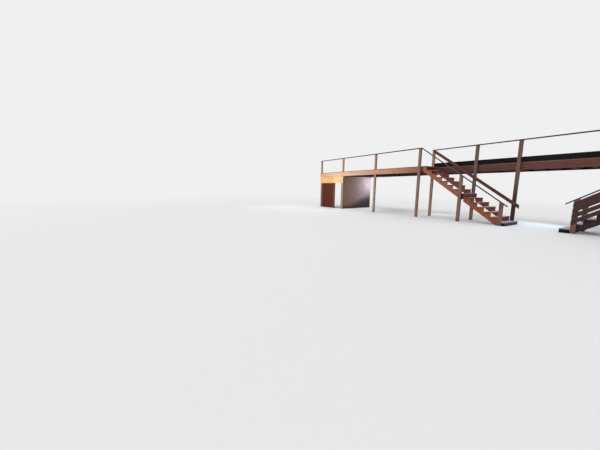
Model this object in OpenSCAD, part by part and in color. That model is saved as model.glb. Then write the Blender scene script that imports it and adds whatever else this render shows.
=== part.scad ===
// Timber mezzanine of a factory hall, with two stairs that face each other in a
// set-back bay and a small store room under its far end. Millimetres, +Z up.
// -Y is the open front, +Y the wall that the deck leans on, and X runs along it
// from the store room (far end, -X) to the near end (+X).
// The origin is on the floor, in the middle of the outline.

/* [Deck] */
// Height of the deck's top above the floor
deck_h = 2750; // [2500:10:3000]
// Depth of the wide deck, from its front face to the wall
deck_d = 3160; // [2700:10:3800]
// Thickness of the deck boards
deck_t = 38; // [28:1:50]
// Set-back of the stair bay's front posts behind the wide deck's front face
set_back = 1280; // [1050:10:1450]

/* [Bays, clear between posts] */
// Bay over the store room
store_bay = 2485; // [2400:10:3300]
// Second bay
second_bay = 2960; // [2200:10:3500]
// Third bay, which ends at the stair landing
third_bay = 2975; // [2200:10:3500]
// Bay past the near stair
near_bay = 2975; // [2200:10:3500]
// Clear width between the two bottom newels
newel_gap = 2103; // [1700:10:2800]

/* [Timber] */
// Width of the posts along the front
post_w = 140; // [100:1:150]
// Depth of the posts, across the deck
post_d = 89; // [75:1:100]
// Thickness of the planks used for beams, joists, stringers and rails
plank_t = 38; // [32:1:50]
// Depth of the beams, joists and ledger
beam_h = 286; // [235:1:300]
// Largest distance between two joists
joist_pitch = 600; // [400:10:700]
// Height of the kick board on the set-back edge
kick_h = 235; // [140:5:286]

/* [Guard rail] */
// Height of the guard rail's top above the deck
guard_h = 980; // [900:10:1100]
// Width of the flat guard rail
rail_w = 140; // [120:1:150]

/* [Stairs] */
// Treads of one stair, the last one level with the deck
treads = 13; // [12:1:15]
// Depth of one step
run = 290; // [260:1:310]
// Width of one tread plank
tread_w = 286; // [250:1:300]
// Height of the wide bottom step
first_step_h = 150; // [120:5:200]
// Overhang of the treads past the stringers
tread_over = 30; // [15:1:35]
// Depth of the stringer planks before the steps are cut
stringer_h = 305; // [235:1:305]
// The tread that lies on the mid-stair beam, counted from the floor
mid_tread = 6; // [4:1:9]
// Depth of the mid-stair beam
mid_beam_h = 235; // [184:1:240]
// Thickness of the mid-stair beam
mid_beam_w = 89; // [75:1:100]
// Distance from the stair's foot to the newel
newel_off = 17; // [5:1:60]
// Height of the front handrail's middle above the pitch line, at the foot
hand_h = 700; // [680:5:900]
// The same height at the landing
hand_top_h = 730; // [700:5:900]
// Width of the flat front handrail
hand_w = 89; // [70:1:100]
// Height of the back handrail's middle above the pitch line
back_hand_h = 650; // [630:5:850]
// Depth of the back handrail's plank
back_hand_w = 140; // [89:1:184]
// Height of the near stair's front handrail above the pitch line, at the foot
near_hand_h = 840; // [750:5:900]
// Reach of the handrails past the newels
hand_reach = 150; // [80:5:250]
// Reach of the near stair's front handrail past its newel
near_hand_reach = 215; // [80:5:250]
// Reach of the far stair's bottom step past its newel
far_step_reach = 140; // [100:5:286]
// Reach of the near stair's bottom step past its newel
near_step_reach = 286; // [100:1:286]
// Boards in the near stair's guard
guard_boards = 4; // [2:1:5]
// Width of one guard board
guard_board_w = 140; // [89:1:160]
// Gap between two guard boards
guard_board_gap = 35; // [15:5:80]
// Gap between the upper guard board and the handrail, straight up
guard_top_gap = 55; // [20:5:120]

/* [Store room] */
// Clear height of the doorway
door_h = 1930; // [1850:10:2050]
// Clear width of the doorway
door_w = 760; // [600:10:800]
// Width of the post-side door jamb
jamb_w = 38; // [32:1:90]
// Width of the board on the other side of the doorway
door_board_w = 160; // [120:1:286]
// Thickness of the plywood sheets
ply_t = 18; // [12:1:25]
// Width of the batten over the sheets' joint
batten_w = 140; // [80:1:184]
// Width of the narrow sheet next to the end post
narrow_sheet = 138; // [100:2:400]
// Width of the side wall's corner board
corner_w = 112; // [80:2:184]
// Width of the side wall's plywood sheets
sheet_w = 1220; // [1000:10:1250]
// Largest distance between two studs of the side wall
stud_pitch = 610; // [400:10:700]

/* [Fixings] */
// Radius of the ledger's anchor bolt holes
bolt_r = 9; // [7:0.5:11]

/* [Hidden] */
$fn = 48;

// Clearance of a board that is cut round a post
notch_gap = 3;
// Joint between two boards or sheets
board_gap = 3;
// A cutting tool reaches this far past the face it cuts
past = 1;
// Recess of the store room's sheets behind the posts' front faces
sheet_recess = 22;
// Lip of the bottom step's planks past its frame
step_lip = 4;
// Lap of the back handrail on the landing post
hand_lap = 45;

// Levels
beam_z = deck_h - deck_t - beam_h;
beam_top = deck_h - deck_t;
rail_z = deck_h + guard_h - plank_t;

// Places along the front, each the low side of a post
p0_x = 0;
p1_x = p0_x + post_w + store_bay;
p2_x = p1_x + post_w + second_bay;
p3_x = p2_x + post_w + third_bay;
land_x = p3_x + post_w + plank_t;
foot_x = land_x + treads * run;
newel_x = foot_x + newel_off;
near_foot_x = newel_x + post_w + newel_gap;
mid_x = (foot_x + near_foot_x) / 2;
near_p3_x = 2 * mid_x - p3_x - post_w;
near_p2_x = near_p3_x + post_w + near_bay;
near_land_x = 2 * mid_x - land_x;
full_l = near_p2_x + post_w + plank_t;

// Places across the deck
post_y = plank_t;
back_y = set_back + post_d;
ledger_y = deck_d - plank_t;

// Stair: s runs up the stair from its foot
rise = (deck_h - first_step_h) / treads;
pitch = rise / run;
pitch_cos = run / norm([run, rise]);
seat_1 = first_step_h + rise - deck_t;
stringer_drop = stringer_h / pitch_cos;
beam_s = (mid_tread - 1) * run + plank_t;
mid_post_x = foot_x - beam_s - mid_beam_w - post_w;
front_stringer_y = post_d;
back_stringer_y = set_back - plank_t;

function pitch_z(s) = first_step_h + rise + pitch * s;
function seat_z(k) = first_step_h + k * rise - deck_t;
function under_z(s) = seat_1 - stringer_drop + pitch * s;

// The near stair is built turned round: its newel stands beside the first
// tread, where the far one stands before it
near_newel_x = foot_x - post_w;

// Joist places inside one bay, each the joist's low side
function bay_count(w) = ceil(w / joist_pitch);
function bay_joists(x, w) = [
    for (i = [0 : bay_count(w) - 1]) x + (i + 0.5) * w / bay_count(w) - plank_t / 2
];
// Middle of the gap after joist i of a bay
function gap_x(x, w, i) = x + i * w / bay_count(w);
middle_l = near_land_x - land_x;
middle_n = bay_count(middle_l);

// Ledger boards: their joints stand on the lines of posts
ledger_joints = [
    0, p2_x + post_w / 2, mid_post_x + post_w / 2,
    2 * mid_x - mid_post_x - post_w / 2, near_p2_x + post_w
];
// Gaps between middle joists, counted in from each end, that lie just outside
// and just inside the ledger's two middle joints
gap_out = 3;
gap_in = 4;
ledger_bolts = [
    [gap_x(post_w, store_bay, 1), gap_x(p1_x + post_w, second_bay, bay_count(second_bay) - 1)],
    [gap_x(p2_x + post_w, third_bay, 1), gap_x(land_x, middle_l, gap_out)],
    [gap_x(land_x, middle_l, gap_in), gap_x(land_x, middle_l, middle_n - gap_in)],
    [gap_x(land_x, middle_l, middle_n - gap_out),
        gap_x(near_p3_x + post_w, near_bay, bay_count(near_bay) - 1)]
];

// The near stair's guard boards stand out past the deck's front face
module at_origin() {
    translate([-full_l / 2, -(deck_d - plank_t) / 2, 0]) children();
}

// The same piece on the near stair, turned over the middle of the two stairs' feet
module near_side() {
    translate([2 * mid_x, 0, 0]) mirror([1, 0, 0]) children();
}

module both_sides() {
    children();
    near_side() children();
}

// A box given by its low corner and its size
module block(x, y, z, lx, ly, lz) {
    translate([x, y, z]) cube([lx, ly, lz]);
}

// A flat outline in X and Z, made thick towards +Y
module upright_plate(y, t, points) {
    translate([0, y + t, 0]) rotate([90, 0, 0]) linear_extrude(height = t) polygon(points);
}

// Posts
module full_post(x, y) {
    block(x, y, 0, post_w, post_d, rail_z);
}

module front_posts_far() {
    color("sienna") at_origin() {
        for (x = [p0_x, p1_x, p2_x]) full_post(x, post_y);
        full_post(p3_x, 0);
    }
}

module front_posts_near() {
    color("sienna") at_origin() {
        full_post(near_p3_x, 0);
        full_post(near_p2_x, post_y);
    }
}

module set_back_posts() {
    color("sienna") at_origin() {
        both_sides() for (x = [p3_x, mid_post_x]) full_post(x, set_back);
        full_post(newel_x, set_back);
    }
}

// A post with its top cut to the slope of a handrail, by its two heights
module cut_post(x, y, low, high) {
    upright_plate(y, post_d, [[x, 0], [x + post_w, 0], [x + post_w, low], [x, high]]);
}

// A post under the front handrail that stands h above the pitch line
module hand_post(x, h) {
    cut_post(x, 0, hand_under(foot_x - x - post_w, h), hand_under(foot_x - x, h));
}

module mid_stair_posts() {
    color("sienna") at_origin() {
        hand_post(mid_post_x, hand_h);
        near_side() hand_post(mid_post_x, near_hand_h);
    }
}

module newel_posts() {
    color("sienna") at_origin() {
        hand_post(newel_x, hand_h);
        near_side() {
            hand_post(near_newel_x, near_hand_h);
            cut_post(near_newel_x, set_back, back_hand_top(0), back_hand_top(post_w));
        }
    }
}

module end_guard_post() {
    color("sienna") at_origin()
        block(near_p2_x, ledger_y - post_d, beam_z, post_w, post_d, rail_z - beam_z);
}

// Boards laid end to end between the given joints
module boards(joints, y, z, d, h) {
    for (i = [0 : len(joints) - 2]) {
        low = joints[i] + (i == 0 ? 0 : board_gap / 2);
        high = joints[i + 1] - (i == len(joints) - 2 ? 0 : board_gap / 2);
        block(low, y, z, high - low, d, h);
    }
}

// Beams
module front_beam_far() {
    color("peru") at_origin() boards([0, p2_x + post_w / 2, p3_x], 0, beam_z, plank_t, beam_h);
}

module front_beam_near() {
    color("peru") at_origin()
        block(near_p3_x + post_w, 0, beam_z, near_bay + post_w, plank_t, beam_h);
}

set_back_joints = [
    p3_x, newel_x + post_w / 2, 2 * mid_x - mid_post_x - post_w / 2, near_p3_x + post_w
];

module set_back_beam() {
    color("brown") at_origin() boards(set_back_joints, back_y, beam_z, plank_t, beam_h);
}

module landing_beams() {
    color("brown") at_origin() both_sides()
        block(p3_x + post_w, 0, beam_z, plank_t, back_y, beam_h);
}

module wall_ledger() {
    color("brown") at_origin() difference() {
        boards(ledger_joints, ledger_y, beam_z, plank_t, beam_h);
        for (pair = ledger_bolts, x = pair)
            translate([x, ledger_y - past, beam_z + beam_h / 2])
                rotate([-90, 0, 0]) cylinder(r = bolt_r, h = plank_t + 2 * past);
    }
}

module end_beams() {
    color("brown") at_origin() {
        block(0, post_y + post_d, beam_z, plank_t, ledger_y - post_y - post_d, beam_h);
        block(near_p2_x + post_w, 0, beam_z, plank_t, deck_d, beam_h);
    }
}

// Joists
module joist(x, y) {
    block(x, y, beam_z, plank_t, ledger_y - y, beam_h);
}

post_mid = (post_w - plank_t) / 2;

module joists_far() {
    color("peru") at_origin() {
        for (x = bay_joists(post_w, store_bay)) joist(x, plank_t);
        for (x = bay_joists(p1_x + post_w, second_bay)) joist(x, plank_t);
        for (x = bay_joists(p2_x + post_w, third_bay)) joist(x, plank_t);
        for (x = [p1_x, p2_x]) joist(x + post_mid, post_y + post_d);
        joist(p3_x + post_mid, back_y + plank_t);
        block(p3_x + post_mid, post_d, beam_z, plank_t, set_back - post_d, beam_h);
    }
}

module joists_middle() {
    color("peru") at_origin()
        for (x = bay_joists(land_x, middle_l)) joist(x, back_y + plank_t);
}

module joists_near() {
    color("peru") at_origin() {
        joist(near_p3_x + post_mid, back_y + plank_t);
        block(near_p3_x + post_mid, post_d, beam_z, plank_t, set_back - post_d, beam_h);
        for (x = bay_joists(near_p3_x + post_w, near_bay)) joist(x, plank_t);
    }
}

// Deck, cut round the posts that pass through it
module post_notch(x, y) {
    block(x - notch_gap, y - notch_gap, beam_top - past,
        post_w + 2 * notch_gap, post_d + 2 * notch_gap, deck_t + 2 * past);
}

module deck_far() {
    color("tan") at_origin() difference() {
        block(0, 0, beam_top, land_x, deck_d, deck_t);
        for (x = [p0_x, p1_x, p2_x]) post_notch(x, post_y);
        post_notch(p3_x, 0);
        post_notch(p3_x, set_back);
    }
}

module deck_middle() {
    color("tan") at_origin()
        block(land_x, back_y, beam_top, middle_l, deck_d - back_y, deck_t);
}

module deck_near() {
    color("tan") at_origin() difference() {
        block(near_land_x, 0, beam_top, full_l - near_land_x, deck_d, deck_t);
        post_notch(near_p3_x, 0);
        post_notch(near_p3_x, set_back);
        post_notch(near_p2_x, post_y);
        post_notch(near_p2_x, ledger_y - post_d);
    }
}

module kick_board() {
    color("darkslategray") at_origin() boards(set_back_joints, back_y, deck_h, plank_t, kick_h);
}

// Guard rails, flat on top of the posts, with their joints on posts
end_rail_x = near_p2_x + post_w - rail_w;

module guard_rail_far() {
    color("saddlebrown") at_origin()
        boards([0, p2_x + post_w / 2, p3_x + post_w], 0, rail_z, rail_w, plank_t);
}

module guard_rail_set_back() {
    color("saddlebrown") at_origin()
        boards(set_back_joints, set_back + (post_d - rail_w) / 2, rail_z, rail_w, plank_t);
}

module guard_rail_near() {
    color("saddlebrown") at_origin()
        block(near_p3_x, 0, rail_z, end_rail_x - near_p3_x, rail_w, plank_t);
}

module guard_rail_end() {
    color("saddlebrown") at_origin()
        block(end_rail_x, 0, rail_z, rail_w, deck_d, plank_t);
}

// Stairs
module mid_stair_beams() {
    color("maroon") at_origin() both_sides()
        block(mid_post_x + post_w, 0, seat_z(mid_tread) - mid_beam_h,
            mid_beam_w, back_y, mid_beam_h);
}

// Saw-tooth outline of a stringer between two places on the stair, s and z
function stringer_outline(s0, s1, k0, k1) = concat(
    [for (k = [k0 : k1], end = [0, 1])
        [min(max((k - 1 + end) * run, s0), s1), seat_z(k)]],
    [[s1, under_z(s1)], [max(s0, -under_z(0) / pitch), max(0, under_z(s0))]],
    s0 == 0 && under_z(0) < 0 ? [[0, 0]] : []
);

function stair_points(points) = [for (p = points) [foot_x - p[0], p[1]]];

module stringer_pair(points) {
    for (y = [front_stringer_y, back_stringer_y])
        upright_plate(y, plank_t, stair_points(points));
}

module lower_stringers() {
    stringer_pair(stringer_outline(0, beam_s, 1, mid_tread));
}

module upper_stringers() {
    stringer_pair(stringer_outline(beam_s + mid_beam_w, treads * run, mid_tread, treads));
}

module far_stair_lower_stringers() {
    color("chocolate") at_origin() lower_stringers();
}

module far_stair_upper_stringers() {
    color("chocolate") at_origin() upper_stringers();
}

module near_stair_lower_stringers() {
    color("chocolate") at_origin() near_side() lower_stringers();
}

module near_stair_upper_stringers() {
    color("chocolate") at_origin() near_side() upper_stringers();
}

module tread(k) {
    block(foot_x - (k - 1) * run - tread_w, front_stringer_y - tread_over, seat_z(k),
        tread_w, set_back - post_d + 2 * tread_over, deck_t);
}

// The treads, cut round the posts whose low sides are given
module stair_treads(post_xs) {
    difference() {
        for (k = [1 : treads]) tread(k);
        for (x = post_xs, y = [0, set_back])
            block(x - notch_gap, y - notch_gap, 0,
                post_w + 2 * notch_gap, post_d + 2 * notch_gap, deck_h);
    }
}

module far_stair_treads() {
    color("rosybrown") at_origin() stair_treads([mid_post_x]);
}

module near_stair_treads() {
    color("rosybrown") at_origin() near_side() stair_treads([mid_post_x, near_newel_x]);
}

// Handrails. The front one starts h above the pitch line, and its top ends
// flush with the guard rail's.
top_s = treads * run + plank_t;
low_s = -newel_off - post_w - hand_reach;

function hand_slope(h) = pitch + (hand_top_h - h) / top_s;
function hand_half(h) = plank_t * norm([1, hand_slope(h)]) / 2;
function hand_under(s, h) = pitch_z(0) + h + hand_slope(h) * s - hand_half(h);

// The front handrail lies flat on the newel and the mid-stair post
module front_handrail(s, h) {
    upright_plate((post_d - hand_w) / 2, hand_w, stair_points([
        [s, hand_under(s, h)],
        [top_s, hand_under(top_s, h)],
        [top_s, hand_under(top_s, h) + 2 * hand_half(h)],
        [s, hand_under(s, h) + 2 * hand_half(h)]
    ]));
}

back_hand_half = back_hand_w / pitch_cos / 2;
function back_hand_top(s) = pitch_z(s) + back_hand_h + back_hand_half;

// The back handrail's upper end lies on the landing post, cut off level under
// the guard rail
module back_handrail(s) {
    end_s = top_s + hand_lap;
    level_s = (rail_z - back_hand_top(0)) / pitch;
    upright_plate(set_back - plank_t, plank_t, stair_points([
        [s, back_hand_top(s) - 2 * back_hand_half],
        [end_s, back_hand_top(end_s) - 2 * back_hand_half],
        [end_s, rail_z], [level_s, rail_z],
        [s, back_hand_top(s)]
    ]));
}

module far_stair_front_handrail() {
    color("saddlebrown") at_origin() front_handrail(low_s, hand_h);
}

module far_stair_back_handrail() {
    color("saddlebrown") at_origin() back_handrail(low_s);
}

module near_stair_front_handrail() {
    color("saddlebrown") at_origin() near_side() front_handrail(-near_hand_reach, near_hand_h);
}

module near_stair_back_handrail() {
    color("saddlebrown") at_origin() near_side() back_handrail(-hand_reach);
}

// Guard of the near stair: boards on the posts' outer faces, in step with the
// handrail, from the newel to the landing post, with their joints on the
// mid-stair post
module near_stair_guard_boards() {
    slope_cos = 1 / norm([1, hand_slope(near_hand_h)]);
    ends = [0, foot_x - mid_post_x - post_w / 2, top_s + post_w];
    color("brown") at_origin() near_side()
        for (n = [0 : guard_boards - 1], i = [0, 1]) {
            drop = guard_top_gap + n * (guard_board_w + guard_board_gap) / slope_cos;
            low = ends[i] + (i == 0 ? 0 : board_gap / 2);
            high = ends[i + 1] - (i == 1 ? 0 : board_gap / 2);
            upright_plate(-plank_t, plank_t, stair_points([
                [low, hand_under(low, near_hand_h) - drop - guard_board_w / slope_cos],
                [high, hand_under(high, near_hand_h) - drop - guard_board_w / slope_cos],
                [high, hand_under(high, near_hand_h) - drop],
                [low, hand_under(low, near_hand_h) - drop]
            ]));
        }
}

// Bottom steps: a nailed frame under wide planks. The far one also reaches back
// between the newels to the stringers.
step_x = newel_x + post_w;
frame_h = first_step_h - deck_t;

module bottom_step_frame(x, reach) {
    frame_d = reach - step_lip;
    difference() {
        block(x, 0, 0, frame_d, back_y, frame_h);
        for (i = [0, 1])
            block(x + plank_t, plank_t + i * (back_y - plank_t) / 2, -past,
                frame_d - 2 * plank_t, (back_y - plank_t) / 2 - plank_t, frame_h + 2 * past);
    }
}

module bottom_step_arms() {
    for (y = [post_d + notch_gap, (back_y - plank_t) / 2, set_back - notch_gap - plank_t])
        block(foot_x + notch_gap, y, 0, step_x - foot_x - notch_gap + past, plank_t, frame_h);
}

module bottom_step_frames() {
    color("dimgray") at_origin() {
        bottom_step_frame(step_x, far_step_reach);
        bottom_step_arms();
        near_side() bottom_step_frame(foot_x, near_step_reach);
    }
}

module bottom_step_planks() {
    color("rosybrown") at_origin() {
        block(step_x + board_gap, 0, frame_h, far_step_reach - board_gap, back_y, deck_t);
        block(foot_x + notch_gap, post_d + notch_gap, frame_h,
            step_x - foot_x - notch_gap, set_back - post_d - 2 * notch_gap, deck_t);
        near_side()
            block(foot_x + board_gap, 0, frame_h, near_step_reach - board_gap, back_y, deck_t);
    }
}

// Store room
sheet_y = post_y + sheet_recess;
door_end = p1_x - jamb_w;
door_x = door_end - door_w;
sheet_end = door_x - door_board_w;

module store_header() {
    color("burlywood") at_origin() {
        block(0, post_y - ply_t, door_h, sheet_end - board_gap / 2, ply_t, beam_z - door_h);
        block(sheet_end + board_gap / 2, post_y - ply_t, door_h,
            p1_x + post_w - sheet_end - board_gap / 2, ply_t, beam_z - door_h);
    }
}

module store_lintel() {
    color("peru") at_origin()
        block(post_w, post_y, door_h, store_bay, post_d, plank_t);
}

module store_front_sheets() {
    color("brown") at_origin() {
        block(post_w, sheet_y, 0, narrow_sheet - board_gap / 2, ply_t, door_h);
        block(post_w + narrow_sheet + board_gap / 2, sheet_y, 0,
            sheet_end - post_w - narrow_sheet - board_gap / 2, ply_t, door_h);
    }
}

module store_batten() {
    color("rosybrown") at_origin()
        block(post_w + narrow_sheet - batten_w / 2, post_y, 0,
            batten_w, sheet_y - post_y, door_h);
}

module store_door_jambs() {
    color("rosybrown") at_origin() {
        block(sheet_end, post_y, 0, door_board_w, plank_t + ply_t, door_h);
        block(door_end, post_y, 0, jamb_w, post_d, door_h);
    }
}

// Side wall: sheets on studs between two plates. It stands back from the end
// post's outer side, its face in line with the doorway's jamb.
side_y = post_y + post_d;
side_l = deck_d - side_y;
side_frame_x = door_end - ply_t - post_d;
stud_n = ceil(side_l / stud_pitch);
sheet_n = ceil((side_l - corner_w) / sheet_w);
side_joints = concat([0], [for (i = [0 : sheet_n - 1]) corner_w + i * sheet_w], [side_l]);

module store_side_sheet() {
    color("gray") at_origin()
        for (i = [0 : sheet_n]) {
            low = side_joints[i] + (i == 0 ? 0 : board_gap / 2);
            high = side_joints[i + 1] - (i == sheet_n ? 0 : board_gap / 2);
            block(door_end - ply_t, side_y + low, 0, ply_t, high - low, beam_z);
        }
}

module store_side_frame() {
    bay = (side_l - plank_t) / stud_n;
    color("peru") at_origin()
        for (i = [0 : stud_n])
            block(side_frame_x, side_y + i * bay, plank_t,
                post_d, plank_t, beam_z - 2 * plank_t);
}

module store_side_plates() {
    color("peru") at_origin()
        for (z = [0, beam_z - plank_t]) block(side_frame_x, side_y, z, post_d, side_l, plank_t);
}

front_posts_far();
front_posts_near();
set_back_posts();
mid_stair_posts();
newel_posts();
end_guard_post();
front_beam_far();
front_beam_near();
set_back_beam();
landing_beams();
wall_ledger();
end_beams();
joists_far();
joists_middle();
joists_near();
deck_far();
deck_middle();
deck_near();
kick_board();
guard_rail_far();
guard_rail_set_back();
guard_rail_near();
guard_rail_end();
mid_stair_beams();
far_stair_upper_stringers();
far_stair_lower_stringers();
near_stair_upper_stringers();
near_stair_lower_stringers();
far_stair_treads();
near_stair_treads();
far_stair_front_handrail();
far_stair_back_handrail();
near_stair_front_handrail();
near_stair_back_handrail();
near_stair_guard_boards();
bottom_step_frames();
bottom_step_planks();
store_header();
store_lintel();
store_front_sheets();
store_batten();
store_door_jambs();
store_side_sheet();
store_side_frame();
store_side_plates();
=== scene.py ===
"""Looks of the timber mezzanine: eased and grained timber, laid deck boards,
plywood, nails and bolts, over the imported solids. Metres, +Z up, -Y the open front."""

import math
import random

import bpy
from mathutils import Matrix, Vector


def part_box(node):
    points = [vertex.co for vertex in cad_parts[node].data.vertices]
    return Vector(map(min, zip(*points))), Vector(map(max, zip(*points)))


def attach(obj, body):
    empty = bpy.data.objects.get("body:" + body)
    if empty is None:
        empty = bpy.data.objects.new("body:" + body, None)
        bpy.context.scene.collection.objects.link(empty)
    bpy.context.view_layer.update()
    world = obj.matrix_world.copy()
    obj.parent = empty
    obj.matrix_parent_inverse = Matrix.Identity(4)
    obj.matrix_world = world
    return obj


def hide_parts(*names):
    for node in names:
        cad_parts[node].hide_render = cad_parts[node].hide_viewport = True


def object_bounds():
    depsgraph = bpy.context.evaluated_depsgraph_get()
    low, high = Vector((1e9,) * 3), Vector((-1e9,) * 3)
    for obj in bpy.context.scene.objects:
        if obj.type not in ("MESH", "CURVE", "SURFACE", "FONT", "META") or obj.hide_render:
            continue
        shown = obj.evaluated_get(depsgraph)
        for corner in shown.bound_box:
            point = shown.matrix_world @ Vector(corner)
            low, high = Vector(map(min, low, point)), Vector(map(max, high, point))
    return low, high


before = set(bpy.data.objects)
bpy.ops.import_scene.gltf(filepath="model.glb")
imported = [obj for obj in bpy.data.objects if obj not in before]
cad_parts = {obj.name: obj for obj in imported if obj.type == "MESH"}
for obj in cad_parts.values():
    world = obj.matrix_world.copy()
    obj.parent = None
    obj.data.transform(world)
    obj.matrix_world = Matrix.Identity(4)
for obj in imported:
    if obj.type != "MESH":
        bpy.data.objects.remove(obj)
solid_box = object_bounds()
bpy.ops.object.select_all(action="DESELECT")

# The far end, the wall side, the outer face of the front beams, and a line between
# the front posts and the set-back ones
FAR = solid_box[0][0]
BACK = solid_box[1][1]
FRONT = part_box("front_beam_far")[0].y
BACK_ROW = FRONT + 0.6

STEP_RUN, STEP_RISE = 0.29, 0.2
BOARD_PITCH = 0.188
BOARD_GAP = 0.004
BUTT_GAP = 0.003
# A face narrower than this is an eased arris
ARRIS_WIDTH = 0.0045
FLOOR_TONE = (0.87, 0.87, 0.88, 1)
DRAW = random.Random(41)
UP, OUT, ASIDE = (0, 0, 1), (0, -1, 0), (1, 0, 0)


# Selecting and editing

def pick(*pieces):
    bpy.ops.object.select_all(action="DESELECT")
    for piece in pieces:
        piece.select_set(True)
    bpy.context.view_layer.objects.active = pieces[0]
    return pieces[0]


def edit(piece):
    """Opens the piece with all its faces chosen."""
    pick(piece)
    bpy.ops.object.mode_set(mode="EDIT")
    bpy.ops.mesh.select_mode(type="FACE")
    bpy.ops.mesh.select_all(action="SELECT")


def leave():
    bpy.ops.object.mode_set(mode="OBJECT")


def edit_faces(piece, wanted):
    """Opens the piece with only those faces chosen that meet a rule."""
    edit(piece)
    bpy.ops.mesh.select_all(action="DESELECT")
    leave()
    for face in piece.data.polygons:
        face.select = wanted(face)
    bpy.ops.object.mode_set(mode="EDIT")


def into_scene(piece):
    bpy.context.scene.collection.objects.link(piece)
    return piece


def twin(piece, name):
    """A second piece of the same shape, with its own mesh."""
    other = piece.copy()
    other.data = piece.data.copy()
    for key in list(other.keys()):
        del other[key]
    other.name = other.data.name = name
    other.parent = None
    other.hide_render = other.hide_viewport = False
    return into_scene(other)


def joined(pieces, name):
    whole = pick(*pieces)
    if len(pieces) > 1:
        bpy.ops.object.join()
    bpy.ops.object.transform_apply(location=True, rotation=True, scale=True)
    whole.name = whole.data.name = name
    return whole


def timber_of(node, name):
    """The node's planks as whole flat faces, ready to be worked."""
    planks = twin(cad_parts[node], name)
    planks.data.materials.clear()
    pick(planks)
    bpy.ops.mesh.customdata_custom_splitnormals_clear()
    bpy.ops.object.shade_flat()
    edit(planks)
    bpy.ops.mesh.remove_doubles(threshold=0.00005)
    bpy.ops.mesh.dissolve_limited(angle_limit=math.radians(0.5))
    leave()
    return planks


def eased(piece, width, steps=2):
    """Rounds the arrises, as a plane or years of hands and boots leave them."""
    pick(piece)
    ease = piece.modifiers.new("ease", "BEVEL")
    ease.width = width
    ease.segments = steps
    ease.limit_method = "ANGLE"
    ease.angle_limit = math.radians(20)
    bpy.ops.object.modifier_apply(modifier=ease.name)
    return piece


def fit(piece, material, node=None):
    """Gives the piece its finish, and the place and slot of the node it stands for."""
    piece.data.materials.clear()
    piece.data.materials.append(material)
    if node:
        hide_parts(node)
    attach(piece, "root")
    return piece


# Planks, one by one

def planks_in(mesh):
    """Lists of vertices, one for each plank of the mesh."""
    root = list(range(len(mesh.vertices)))

    def top(i):
        while root[i] != i:
            root[i] = root[root[i]]
            i = root[i]
        return i

    for edge in mesh.edges:
        a, b = top(edge.vertices[0]), top(edge.vertices[1])
        if a != b:
            root[b] = a
    planks = {}
    for i in range(len(root)):
        planks.setdefault(top(i), []).append(i)
    return list(planks.values())


def corners(points):
    """The lowest and highest corner of the box round the points."""
    return (Vector([min(p[k] for p in points) for k in range(3)]),
            Vector([max(p[k] for p in points) for k in range(3)]))


def plank_points(node):
    """The corners of each plank of a node, in the part's frame."""
    planks = timber_of(node, "plank_points")
    vertices = planks.data.vertices
    places = [[vertices[i].co.copy() for i in plank] for plank in planks_in(planks.data)]
    bpy.data.objects.remove(planks)
    return places


def plank_boxes(*nodes):
    return [corners(points) for node in nodes for points in plank_points(node)]


def joist_lines(node):
    """Where the middles of the joists lie along the deck."""
    return sorted({round((low.x + high.x) / 2, 4) for low, high in plank_boxes(node)})


# What the materials read off each plank

def plank_axes(size, slope):
    """Along the grain, across the width and through the thickness."""
    if slope:
        along = Vector((slope, 0, STEP_RISE / STEP_RUN)).normalized()
        through = Vector((0, 1, 0))
        return along, through.cross(along), through
    order = sorted(range(3), key=lambda i: -size[i])
    return [Vector([float(i == k) for k in range(3)]) for i in order]


def in_the_back_row(low, high):
    return low.y + high.y > 2 * BACK_ROW


def at_the_far_landing(low, high):
    return low.x < FAR + 9.5


def beyond_the_header_joint(low, high):
    return low.x > FAR + 1.0


def front_half(low, high):
    return low.y < FRONT + 1.0


# Which planks of a node have the second tone, where that isn't its back row; on the set-back post at the
# far landing it is a painted light
SECOND_TONE_PLANKS = {
    "set_back_posts": at_the_far_landing,
    "store_header": beyond_the_header_joint,
    "store_side_sheet": front_half,
}


def write_on(mesh, name, kind, domain, values):
    field = "vector" if kind == "FLOAT_VECTOR" else "value"
    mesh.attributes.new(name, kind, domain).data.foreach_set(field, values)


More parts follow.
